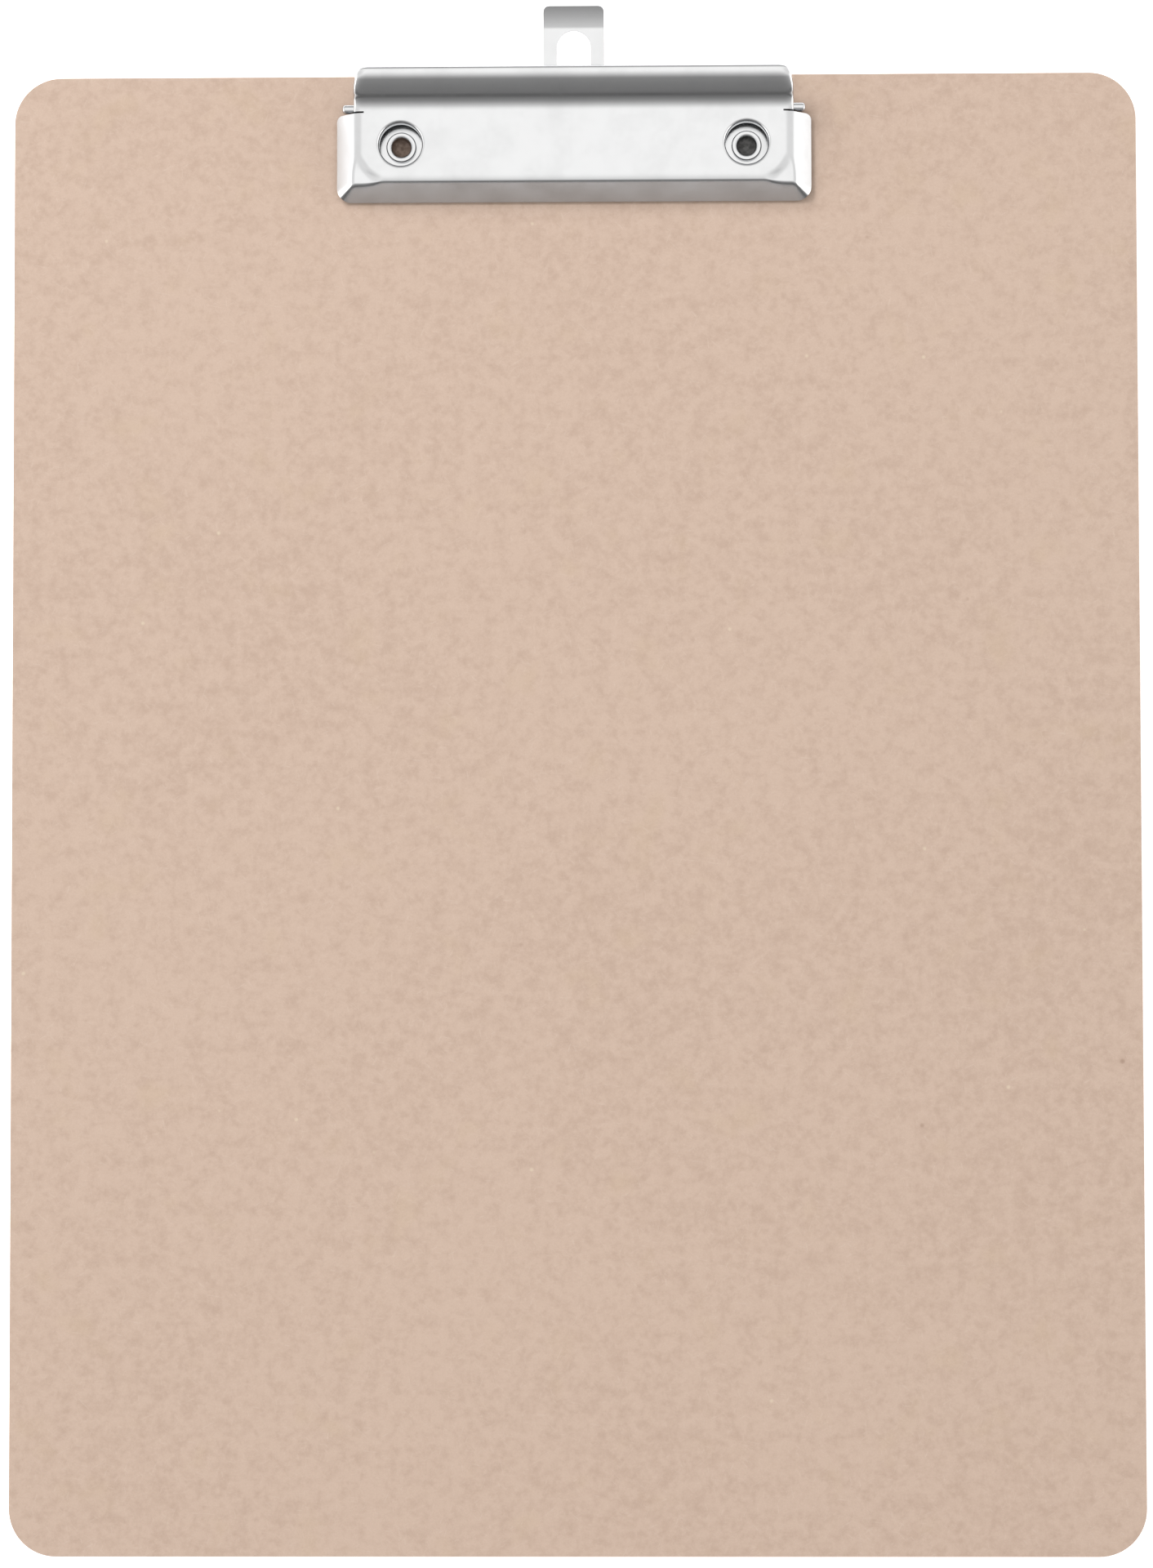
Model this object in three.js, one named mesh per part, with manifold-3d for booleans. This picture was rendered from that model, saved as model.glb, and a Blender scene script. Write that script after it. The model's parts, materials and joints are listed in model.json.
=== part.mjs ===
// A4 clipboard: a hardboard sheet, a low sprung clip held by two semi-tubular rivets, and a hanging
// tab that pulls out past the edge of the board.
//
// Millimetres, +Z up. The origin is the centre of the board's back face, and +Y points to the clip
// end. The clip's pieces are drawn in a frame of their own, which sits at the middle of the board's
// clip edge, on its front face: x runs across, y is negative over the board and positive beyond
// its edge, and z is the height above the board.

import * as THREE from 'three';
import { mergeVertices } from 'three/addons/utils/BufferGeometryUtils.js';
import Module from 'manifold-3d';

const DEGREE = Math.PI / 180;
const ARC_STEPS = 4;
const ROUND_STEPS = 24;
const BEND_STEP = 14 * DEGREE;
const OVERCUT = 1;

// Board
const BOARD_WIDTH = 240;
const BOARD_LENGTH = 315;
const BOARD_THICKNESS = 3;
const BOARD_CORNER = 10;

// Pivot: the axis that the jaw turns about
const PIVOT_Y = -7.6;
const PIVOT_Z = 2.6;
const ROD_RADIUS = 1.0;
const ROD_HALF_LENGTH = 49.5;
const ROD_END_ROUND = 0.7;
const ROD_CLEARANCE = 0.06;

// Rivets
const RIVET_X = 36.9;
const RIVET_Y = -15.6;
const RIVET_BORE = 2.0;
const RIVET_TUBE = 2.5;
const RIVET_CLEARANCE = 0.1;
const RIVET_HEAD_ROLL = 0.75;
const RIVET_HEAD_HEIGHT = 1.1;
const RIVET_WEB = [-1.2, -0.7];
const RIVET_FLANGE_RADIUS = 4.0;
const RIVET_FLANGE_THICKNESS = 0.5;
const RECESS_RADIUS = 4.3;
const RECESS_DEPTH = 0.7;
const RIVET_GAP = 0.05;

// Base plate, which the rivets hold on the board
const BASE_SHEET = 0.6;
const BASE_HALF_WIDTH = 45.4;
const BASE_FRONT = -21.5;
const BASE_REAR = -0.8;
const BASE_CORNER = 1.5;
const EAR_RADIUS = 1.9;
const EAR_HALF_LENGTH = 3.2;
const LUG_HALF_LENGTH = 2.3;
const LUG_OUTER_X = 23.0;
const LUG_WINDOW = 4.2;

// Raised channel in the base plate, where the hanging tab slides
const CHANNEL_HEIGHT = 0.95;
const CHANNEL_STEM_HALF_WIDTH = 6.9;
const CHANNEL_HALF_WIDTH = 9.0;
const CHANNEL_FRONT = -20.0;
const CHANNEL_STOP = -5.0;
const CHANNEL_SLOPE = 0.5;

// Hanging tab
const TAB_SHEET = 0.7;
const TAB_LIFT = 0.1;
const TAB_HALF_WIDTH = 6.5;
const TAB_SHOULDER_HALF_WIDTH = 8.3;
const TAB_SHOULDER_LENGTH = 3.5;
const TAB_FRONT = -9.0;
const TAB_MOVES = [
  { run: 18.6 },
  { bend: 20 * DEGREE, radius: 2.35 },
  { bend: 12 * DEGREE, radius: 22.35 },
];
const TAB_CORNER = 1.2;
const EYE_HALF_WIDTH = 3.6;
const EYE_FRONT = -2.0;
const EYE_REAR = 9.5;

// Jaw plate: the panel with its folded lip and wings, and the lever that opens it
const JAW_SHEET = 0.7;
const PANEL_TOP = 5.5;
const LIP_FOLD = { start: 22.3, radius: 2.2, angle: 50 * DEGREE };
const WING_FOLD = { start: 44.5, radius: 4.2, angle: 44 * DEGREE };
const LIP_BOTTOM = 0.3;
const WING_HALF_SPAN = 50.7;
const WING_REAR = -8.9;
const WING_CORNER = 3.0;
const WING_REAR_CORNER = 1.2;
const LEVER_HALF_WIDTH = 46.9;
const LEVER_START = -9.3;
const LEVER_CORNER = 2.4;
const LEVER_MOVES = [
  { run: 0.4 },
  { bend: 20 * DEGREE, radius: 4.45 },
  { bend: 27 * DEGREE, radius: 4.95 },
  { bend: -3 * DEGREE, radius: 14.25 },
  { bend: -9 * DEGREE, radius: 21.15 },
  { bend: -35 * DEGREE, radius: 3.15 },
  { bend: -100 * DEGREE, radius: 0.5 },
  { run: 0.3 },
];
const CHEEK_RADIUS = 2.4;
const CHEEK_REAR = [-1.6, 8.0];
const ACCESS_RADIUS = 4.6;
const ACCESS_FLARE = 0.7;
const ACCESS_RIM_DEPTH = 1.5;
const ACCESS_RIM_WALL = 0.7;

// Torsion springs on the pivot rod
const WIRE_RADIUS = 0.4;
const WIRE_SIDES = 6;
const COIL_RADIUS = 1.5;
const COIL_TURNS = 6;
const COIL_PITCH = 0.87;
const COIL_START_X = 24.2;
const COIL_STEPS_PER_TURN = 12;
const MOVING_LEG_ANGLE = 20 * DEGREE;
const FIXED_LEG_END = [-1.6, 1.1];
const MOVING_LEG_BEND_Y = -3.8;
const MOVING_LEG_TIP = [-2.9, 7.7];

const wasm = await Module();
wasm.setup();

// ---------------------------------------------------------------- solids

// A closed manifold-3d solid from a three.js geometry.
function solid(geometry) {
  geometry.deleteAttribute('normal');
  geometry.deleteAttribute('uv');
  const merged = mergeVertices(geometry, 1e-5);
  const corners = merged.index.array;
  const kept = [];
  for (let i = 0; i < corners.length; i += 3) {
    const [a, b, c] = corners.slice(i, i + 3);
    if (a !== b && b !== c && c !== a) kept.push(a, b, c);
  }
  return new wasm.Manifold(new wasm.Mesh({
    numProp: 3,
    vertProperties: new Float32Array(merged.attributes.position.array),
    triVerts: new Uint32Array(kept),
  }));
}

// A three.js geometry from a manifold-3d solid.
function geometryOf(manifold) {
  const { vertProperties, triVerts } = manifold.getMesh();
  const geometry = new THREE.BufferGeometry();
  geometry.setAttribute('position', new THREE.BufferAttribute(vertProperties, 3));
  geometry.setIndex(new THREE.BufferAttribute(triVerts, 1));
  geometry.computeVertexNormals();
  return geometry;
}

// A solid through stacked rings of points, each ring counter-clockwise seen from above.
function loft(rings) {
  const count = rings[0].length;
  const index = [];
  for (let level = 1; level < rings.length; level += 1) {
    for (let i = 0; i < count; i += 1) {
      const next = (i + 1) % count;
      const low = (level - 1) * count;
      const high = level * count;
      index.push(low + i, low + next, high + next, low + i, high + next, high + i);
    }
  }
  const top = (rings.length - 1) * count;
  for (let i = 1; i + 1 < count; i += 1) {
    index.push(0, i + 1, i, top, top + i, top + i + 1);
  }
  const geometry = new THREE.BufferGeometry();
  geometry.setAttribute('position', new THREE.Float32BufferAttribute(rings.flat(2), 3));
  geometry.setIndex(index);
  return solid(geometry);
}

// A rectangle of points at one height.
function rectangle(halfWidth, front, rear, z) {
  return [
    [-halfWidth, front, z],
    [halfWidth, front, z],
    [halfWidth, rear, z],
    [-halfWidth, rear, z],
  ];
}

// A block with upright sides.
function block(halfWidth, front, rear, bottom, top) {
  return loft([rectangle(halfWidth, front, rear, bottom), rectangle(halfWidth, front, rear, top)]);
}

// A closed plan outline through [x, y, radius] corners, each corner rounded to its radius.
function outline(corners) {
  const shape = new THREE.Shape();
  corners.forEach(([x, y, radius = 0], i) => {
    if (radius === 0) {
      if (i === 0) shape.moveTo(x, y);
      else shape.lineTo(x, y);
      return;
    }
    const corner = new THREE.Vector2(x, y);
    const towards = ([nextX, nextY]) => new THREE.Vector2(nextX, nextY).sub(corner).normalize();
    const back = towards(corners.at(i - 1));
    const ahead = towards(corners[(i + 1) % corners.length]);
    const half = Math.acos(back.dot(ahead)) / 2;
    const middle = back.clone().add(ahead).normalize();
    const centre = corner.clone().addScaledVector(middle, radius / Math.sin(half));
    const reach = radius / Math.tan(half);
    const from = corner.clone().addScaledVector(back, reach).sub(centre);
    const to = corner.clone().addScaledVector(ahead, reach).sub(centre);
    shape.absarc(centre.x, centre.y, radius, from.angle(), to.angle(), back.cross(ahead) > 0);
  });
  shape.closePath();
  return shape;
}

// A plan shape pushed up from one height to another.
function pushUp(shape, bottom, top) {
  const options = { depth: top - bottom, bevelEnabled: false, curveSegments: ARC_STEPS };
  return solid(new THREE.ExtrudeGeometry(shape, options).translate(0, 0, bottom));
}

// A side-view shape, drawn in y and z, pushed across from one x to another.
function pushAcross(shape, fromX, toX) {
  const options = { depth: toX - fromX, bevelEnabled: false, curveSegments: ARC_STEPS };
  const sideView = new THREE.Matrix4().makeBasis(
    new THREE.Vector3(0, 1, 0),
    new THREE.Vector3(0, 0, 1),
    new THREE.Vector3(1, 0, 0),
  );
  const geometry = new THREE.ExtrudeGeometry(shape, options);
  return solid(geometry.applyMatrix4(sideView).translate(fromX, 0, 0));
}

// The same pushed across on the right and, mirrored, on the left.
function pushAcrossBothSides(shape, fromX, toX) {
  const right = pushAcross(shape, fromX, toX);
  return right.add(right.mirror([1, 0, 0]));
}

// A solid of revolution about an upright axis, from [radius, z] points.
function turned(profile, x = 0, y = 0) {
  const points = profile.map(([radius, z]) => new THREE.Vector2(radius, z));
  const geometry = new THREE.LatheGeometry(points, ROUND_STEPS);
  return solid(geometry.rotateX(Math.PI / 2).translate(x, y, 0));
}

// [y, z] points on an arc, first and last included.
function arc(centreY, centreZ, radius, from, to, steps) {
  return Array.from({ length: steps + 1 }, (_, i) => {
    const angle = from + ((to - from) * i) / steps;
    return [centreY + radius * Math.cos(angle), centreZ + radius * Math.sin(angle)];
  });
}

// The mid-line of a bent sheet in side view. It starts level, then runs straight or bends.
function bentLine(startY, startZ, moves) {
  const place = new THREE.Vector2(startY, startZ);
  let heading = 0;
  const line = [{ place: place.clone(), heading }];
  for (const { run = 0, bend = 0, radius = 0 } of moves) {
    const steps = Math.max(1, Math.ceil(Math.abs(bend) / BEND_STEP));
    for (let i = 0; i < steps; i += 1) {
      const turn = bend / steps;
      const length = bend ? 2 * radius * Math.sin(Math.abs(turn) / 2) : run;
      const direction = heading + turn / 2;
      place.x += length * Math.cos(direction);
      place.y += length * Math.sin(direction);
      heading += turn;
      line.push({ place: place.clone(), heading });
    }
  }
  return line;
}

// The side view of the sheet itself, with half its thickness on each side of the mid-line.
function sheetShape(line, thickness) {
  const side = (offset) => line.map(({ place, heading }) => new THREE.Vector2(
    place.x - offset * Math.sin(heading),
    place.y + offset * Math.cos(heading),
  ));
  return new THREE.Shape([...side(-thickness / 2), ...side(thickness / 2).reverse()]);
}

// A bar along the pivot axis, used to cut the holes for the rod.
function pivotBore() {
  const length = 2 * (WING_HALF_SPAN + OVERCUT);
  const radius = ROD_RADIUS + ROD_CLEARANCE;
  const geometry = new THREE.CylinderGeometry(radius, radius, length, ROUND_STEPS);
  return solid(geometry.rotateZ(Math.PI / 2).translate(0, PIVOT_Y, PIVOT_Z));
}

// ---------------------------------------------------------------- board

function makeBoard() {
  const x = BOARD_WIDTH / 2;
  const y = BOARD_LENGTH / 2;
  const sheet = outline([
    [-x, -y, BOARD_CORNER],
    [x, -y, BOARD_CORNER],
    [x, y, BOARD_CORNER],
    [-x, y, BOARD_CORNER],
  ]);
  const holeRadius = RIVET_TUBE + RIVET_CLEARANCE;
  const holeProfile = [
    [0, -OVERCUT],
    [RECESS_RADIUS, -OVERCUT],
    [RECESS_RADIUS, RECESS_DEPTH],
    [holeRadius, RECESS_DEPTH],
    [holeRadius, BOARD_THICKNESS + OVERCUT],
    [0, BOARD_THICKNESS + OVERCUT],
  ];
  return [-RIVET_X, RIVET_X].reduce(
    (blank, rivetX) => blank.subtract(turned(holeProfile, rivetX, y + RIVET_Y)),
    pushUp(sheet, 0, BOARD_THICKNESS),
  );
}

// ---------------------------------------------------------------- base plate

// An upright ear with a round top about the pivot.
function earShape(halfLength) {
  const foot = BASE_SHEET / 2;
  return new THREE.Shape([
    [PIVOT_Y - halfLength, foot],
    [PIVOT_Y + halfLength, foot],
    ...arc(PIVOT_Y, PIVOT_Z, EAR_RADIUS, 0, Math.PI, 2 * ARC_STEPS),
  ].map(([y, z]) => new THREE.Vector2(y, z)));
}

// A raised part of the plate with sloping walls, open or walled at its rear.
function channelRoof(halfWidth, front, rear, rearWalled) {
  const top = CHANNEL_HEIGHT + BASE_SHEET;
  const ring = (spread, z) => rectangle(
    halfWidth + spread,
    front - spread,
    rearWalled ? rear + spread : rear,
    z,
  );
  return loft([
    ring(BASE_SHEET + CHANNEL_SLOPE, 0),
    ring(BASE_SHEET + CHANNEL_SLOPE, BASE_SHEET),
    ring(BASE_SHEET, top),
  ]);
}

function rivetHole(x) {
  const radius = RIVET_TUBE + RIVET_CLEARANCE;
  const top = BASE_SHEET + OVERCUT;
  return turned([[0, -OVERCUT], [radius, -OVERCUT], [radius, top], [0, top]], x, RIVET_Y);
}

function makeBasePlate() {
  const plate = outline([
    [-BASE_HALF_WIDTH, BASE_FRONT, BASE_CORNER],
    [BASE_HALF_WIDTH, BASE_FRONT, BASE_CORNER],
    [BASE_HALF_WIDTH, BASE_REAR],
    [-BASE_HALF_WIDTH, BASE_REAR],
  ]);
  const lugInnerX = LUG_OUTER_X - BASE_SHEET;
  const window = pushUp(outline([
    [lugInnerX - LUG_WINDOW, PIVOT_Y - LUG_HALF_LENGTH],
    [lugInnerX, PIVOT_Y - LUG_HALF_LENGTH],
    [lugInnerX, PIVOT_Y + LUG_HALF_LENGTH],
    [lugInnerX - LUG_WINDOW, PIVOT_Y + LUG_HALF_LENGTH],
  ]), -OVERCUT, BASE_SHEET + OVERCUT);
  const ears = pushAcrossBothSides(
    earShape(EAR_HALF_LENGTH),
    BASE_HALF_WIDTH - BASE_SHEET,
    BASE_HALF_WIDTH,
  );
  const lugs = pushAcrossBothSides(earShape(LUG_HALF_LENGTH), lugInnerX, LUG_OUTER_X);
  const stemFront = CHANNEL_STOP - BASE_SHEET;
  const stemRoof = channelRoof(CHANNEL_STEM_HALF_WIDTH, stemFront, BASE_REAR, false);
  const wideRoof = channelRoof(CHANNEL_HALF_WIDTH, CHANNEL_FRONT, CHANNEL_STOP, true);
  const stemRear = BASE_REAR + OVERCUT;
  const stem = block(CHANNEL_STEM_HALF_WIDTH, stemFront, stemRear, -OVERCUT, CHANNEL_HEIGHT);
  const wide = block(CHANNEL_HALF_WIDTH, CHANNEL_FRONT, CHANNEL_STOP, -OVERCUT, CHANNEL_HEIGHT);
  return pushUp(plate, 0, BASE_SHEET)
    .add(stemRoof)
    .add(wideRoof)
    .subtract(stem)
    .subtract(wide)
    .subtract(rivetHole(-RIVET_X))
    .subtract(rivetHole(RIVET_X))
    .subtract(window)
    .subtract(window.mirror([1, 0, 0]))
    .add(ears)
    .add(lugs)
    .subtract(pivotBore());
}

// ---------------------------------------------------------------- pivot rod

function makePivotRod() {
  const straight = ROD_HALF_LENGTH - ROD_END_ROUND;
  const core = ROD_RADIUS - ROD_END_ROUND;
  const profile = [
    [0, -ROD_HALF_LENGTH],
    ...arc(core, -straight, ROD_END_ROUND, -Math.PI / 2, 0, 3),
    ...arc(core, straight, ROD_END_ROUND, 0, Math.PI / 2, 3),
    [0, ROD_HALF_LENGTH],
  ];
  return turned(profile).rotate([0, 90, 0]).translate([0, PIVOT_Y, PIVOT_Z]);
}

// ---------------------------------------------------------------- rivets

// A semi-tubular rivet: a flange at the back, and its open front end rolled over into a round
// collar. A web closes its bore.
function makeRivet(x) {
  const base = -BOARD_THICKNESS;
  const flangeTop = base + RECESS_DEPTH - RIVET_CLEARANCE;
  const flangeBottom = flangeTop - RIVET_FLANGE_THICKNESS;
  const headBottom = BASE_SHEET + RIVET_GAP;
  const headCentre = RIVET_BORE + RIVET_HEAD_ROLL;
  const [webBottom, webTop] = RIVET_WEB;
  const roll = arc(headCentre, 0, RIVET_HEAD_ROLL, 0, Math.PI, 2 * ARC_STEPS);
  const stretch = RIVET_HEAD_HEIGHT / RIVET_HEAD_ROLL;
  const profile = [
    [0, webBottom],
    [RIVET_BORE, webBottom],
    [RIVET_BORE, flangeBottom],
    [RIVET_FLANGE_RADIUS, flangeBottom],
    [RIVET_FLANGE_RADIUS, flangeTop],
    [RIVET_TUBE, flangeTop],
    [RIVET_TUBE, headBottom],
    ...roll.map(([radius, z]) => [radius, headBottom + z * stretch]),
    [RIVET_BORE, webTop],
    [0, webTop],
  ];
  return turned(profile, x, RIVET_Y);
}

// ---------------------------------------------------------------- hanging tab

function makeHangingTab() {
  const line = bentLine(TAB_FRONT, TAB_LIFT + TAB_SHEET / 2, TAB_MOVES);
  const strap = pushAcross(
    sheetShape(line, TAB_SHEET),
    -TAB_SHOULDER_HALF_WIDTH,
    TAB_SHOULDER_HALF_WIDTH,
  );
  const tip = line.at(-1);
  const tipY = tip.place.x + (TAB_SHEET / 2) * Math.sin(tip.heading);
  const shoulderRear = TAB_FRONT + TAB_SHOULDER_LENGTH;
  const plan = outline([
    [-TAB_SHOULDER_HALF_WIDTH, TAB_FRONT, 1],
    [TAB_SHOULDER_HALF_WIDTH, TAB_FRONT, 1],
    [TAB_SHOULDER_HALF_WIDTH, shoulderRear],
    [TAB_HALF_WIDTH, shoulderRear],
    [TAB_HALF_WIDTH, tipY, TAB_CORNER],
    [-TAB_HALF_WIDTH, tipY, TAB_CORNER],
    [-TAB_HALF_WIDTH, shoulderRear],
    [-TAB_SHOULDER_HALF_WIDTH, shoulderRear],
  ]);
  const eye = new THREE.Path();
  eye.absarc(0, EYE_REAR - EYE_HALF_WIDTH, EYE_HALF_WIDTH, 0, Math.PI);
  eye.absarc(0, EYE_FRONT + EYE_HALF_WIDTH, EYE_HALF_WIDTH, Math.PI, 2 * Math.PI);
  eye.closePath();
  plan.holes.push(eye);
  return strap.intersect(pushUp(plan, -OVERCUT, PANEL_TOP));
}

// ---------------------------------------------------------------- jaw plate

// How far a folded surface reaches past the start of its fold, at a height below the panel's top.
// The surface lies at a depth inside the sheet, 0 on its outside.
function foldReach(fold, z, depth) {
  const radius = fold.radius - depth;
  const drop = PANEL_TOP - depth - z;
  const arcDrop = radius * (1 - Math.cos(fold.angle));
  if (drop <= arcDrop) return Math.sqrt(Math.max(0, radius ** 2 - (radius - drop) ** 2));
  return radius * Math.sin(fold.angle) + (drop - arcDrop) / Math.tan(fold.angle);
}

// The space under the pan's surface at a depth inside the sheet, down to a height.
function panSpace(depth, bottom, rear) {
  const top = PANEL_TOP - depth;
  const heights = [LIP_FOLD, WING_FOLD].flatMap(({ radius, angle }) => (
    Array.from({ length: ARC_STEPS }, (_, i) => (
      top - (radius - depth) * (1 - Math.cos((angle * (i + 1)) / ARC_STEPS))
    ))
  ));
  const levels = [...new Set([bottom, ...heights, top])].sort((a, b) => a - b);
  return loft(levels.map((z) => rectangle(
    WING_FOLD.start + foldReach(WING_FOLD, z, depth),
    -LIP_FOLD.start - foldReach(LIP_FOLD, z, depth),
    rear,
    z,
  )));
}

// The flat panel with the lip and the two wings folded down from it.
function makePan() {
  const lipFront = -LIP_FOLD.start - foldReach(LIP_FOLD, LIP_BOTTOM, 0);
  const plan = outline([
    [-WING_HALF_SPAN, lipFront, WING_CORNER],
    [WING_HALF_SPAN, lipFront, WING_CORNER],
    [WING_HALF_SPAN, WING_REAR, WING_REAR_CORNER],
    [-WING_HALF_SPAN, WING_REAR, WING_REAR_CORNER],
  ]);
  return panSpace(0, LIP_BOTTOM, WING_REAR)
    .intersect(pushUp(plan, -OVERCUT, PANEL_TOP + OVERCUT))
    .subtract(panSpace(JAW_SHEET, -OVERCUT, WING_REAR + OVERCUT));
}

// The lever behind the panel, with the cheeks that turn on the pivot rod.
function makeLever() {
  const line = bentLine(LEVER_START, PANEL_TOP - JAW_SHEET / 2, LEVER_MOVES);
  const hump = pushAcross(sheetShape(line, JAW_SHEET), -LEVER_HALF_WIDTH, LEVER_HALF_WIDTH);
  const ridge = line.map(({ place }) => place.toArray());
  const cheek = new THREE.Shape([
    ...arc(PIVOT_Y, PIVOT_Z, CHEEK_RADIUS, 0, -Math.PI, 2 * ARC_STEPS),
    ...ridge,
    CHEEK_REAR,
  ].map(([y, z]) => new THREE.Vector2(y, z)));
  const cheeks = pushAcrossBothSides(cheek, LEVER_HALF_WIDTH - JAW_SHEET, LEVER_HALF_WIDTH);
  const rear = Math.max(...line.map(({ place }) => place.x)) + JAW_SHEET / 2;
  const top = Math.max(...line.map(({ place }) => place.y)) + JAW_SHEET;
  const plan = outline([
    [-LEVER_HALF_WIDTH, LEVER_START],
    [LEVER_HALF_WIDTH, LEVER_START],
    [LEVER_HALF_WIDTH, rear, LEVER_CORNER],
    [-LEVER_HALF_WIDTH, rear, LEVER_CORNER],
  ]);
  return hump.add(cheeks).intersect(pushUp(plan, -OVERCUT, top));
}

// The panel's holes over the rivets: a rim drawn down round each, and the flared hole itself.
function accessRim(x) {
  const radius = ACCESS_RADIUS + ACCESS_RIM_WALL;
  const top = PANEL_TOP - JAW_SHEET / 2;
  const bottom = PANEL_TOP - ACCESS_RIM_DEPTH;
  return turned([[0, bottom], [radius, bottom], [radius, top], [0, top]], x, RIVET_Y);
}

function accessHole(x) {
  const bottom = PANEL_TOP - ACCESS_RIM_DEPTH - OVERCUT;
  const top = PANEL_TOP + OVERCUT;
  const flare = ACCESS_RADIUS + ACCESS_FLARE;
  return turned([
    [0, bottom],
    [ACCESS_RADIUS, bottom],
    [ACCESS_RADIUS, PANEL_TOP - ACCESS_FLARE],
    [flare, PANEL_TOP],
    [flare, top],
    [0, top],
  ], x, RIVET_Y);
}

function makeJawPlate() {
  return makePan()
    .add(makeLever())
    .add(accessRim(-RIVET_X))
    .add(accessRim(RIVET_X))
    .subtract(accessHole(-RIVET_X))
    .subtract(accessHole(RIVET_X))
    .subtract(pivotBore());
}

// ---------------------------------------------------------------- springs

// A torsion spring on the rod. One leg lies back over the base plate, and the other reaches up
// under the lever. The side is 1 for the right spring and -1 for its mirror image on the left.
function makeSpring(side) {
  const route = [];
  const addPoint = (x, y, z) => route.push(new THREE.Vector3(side * x, y, z));
  const [fixedY, fixedZ] = FIXED_LEG_END;
  addPoint(COIL_START_X, fixedY, fixedZ);
  addPoint(COIL_START_X, (fixedY + PIVOT_Y) / 2, (fixedZ + PIVOT_Z - COIL_RADIUS) / 2);

  // The coil starts at the bottom, runs forward and up, and ends where the moving leg leaves it.
  const turnAngle = 2 * Math.PI * (COIL_TURNS - 0.5) - MOVING_LEG_ANGLE;
  const steps = Math.round((turnAngle / (2 * Math.PI)) * COIL_STEPS_PER_TURN);
  for (let i = 0; i <= steps; i += 1) {
    const angle = (turnAngle * i) / steps;
    addPoint(
      COIL_START_X + (COIL_PITCH * angle) / (2 * Math.PI),
      PIVOT_Y - COIL_RADIUS * Math.sin(angle),
      PIVOT_Z - COIL_RADIUS * Math.cos(angle),
    );
  }

  const { x: endX, y: leaveY, z: leaveZ } = route.at(-1);
  const bendZ = leaveZ + (MOVING_LEG_BEND_Y - leaveY) * Math.tan(MOVING_LEG_ANGLE);
  const coilEndX = side * endX;
  addPoint(coilEndX, (leaveY + MOVING_LEG_BEND_Y) / 2, (leaveZ + bendZ) / 2);
  addPoint(coilEndX, MOVING_LEG_BEND_Y, bendZ);
  addPoint(coilEndX, ...MOVING_LEG_TIP);

  const path = new THREE.CatmullRomCurve3(route);
  const section = new THREE.Shape(Array.from({ length: WIRE_SIDES }, (_, i) => {
    const angle = (2 * Math.PI * i) / WIRE_SIDES;
    return new THREE.Vector2(WIRE_RADIUS * Math.cos(angle), WIRE_RADIUS * Math.sin(angle));
  }));
  const wireSteps = Math.round(path.getLength() / (2 * WIRE_RADIUS));
  const options = { steps: wireSteps, extrudePath: path, bevelEnabled: false };
  return solid(new THREE.ExtrudeGeometry(section, options));
}

// ---------------------------------------------------------------- assembly

const NICKEL = { color: '#dcdcda', roughness: 0.22, metalness: 1 };
const SPRING_STEEL = { color: '#b4b4b2', roughness: 0.3, metalness: 1 };
const HARDBOARD = { color: '#d6bbaa', roughness: 0.75, metalness: 0 };

function piece(name, shape, finish) {
  const mesh = new THREE.Mesh(geometryOf(shape), new THREE.MeshStandardMaterial(finish));
  mesh.name = name;
  return mesh;
}

const clip = new THREE.Group();
clip.position.set(0, BOARD_LENGTH / 2, BOARD_THICKNESS);
clip.add(
  piece('base_plate', makeBasePlate(), NICKEL),
  piece('jaw_plate', makeJawPlate(), NICKEL),
  piece('pivot_rod', makePivotRod(), NICKEL),
  piece('spring_left', makeSpring(-1), SPRING_STEEL),
  piece('spring_right', makeSpring(1), SPRING_STEEL),
  piece('rivet_left', makeRivet(-RIVET_X), NICKEL),
  piece('rivet_right', makeRivet(RIVET_X), NICKEL),
  piece('hanging_tab', makeHangingTab(), NICKEL),
);

const clipboard = new THREE.Group();
clipboard.add(piece('board', makeBoard(), HARDBOARD), clip);

export default clipboard;
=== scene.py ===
"""The looks of an A4 clipboard: a hardboard sheet with a bright sprung clip and a hanging tab.

Shapes are drawn in millimetres in the clip's own frame, which sits at the middle of the board's
clip edge, on its front face: x runs across, y is negative over the board and z is the height above
it. to_row turns them into the row's frame, in metres.
"""

import json
import math

import bmesh
import bpy
from mathutils import Matrix, Vector
from mathutils.geometry import delaunay_2d_cdt


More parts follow.
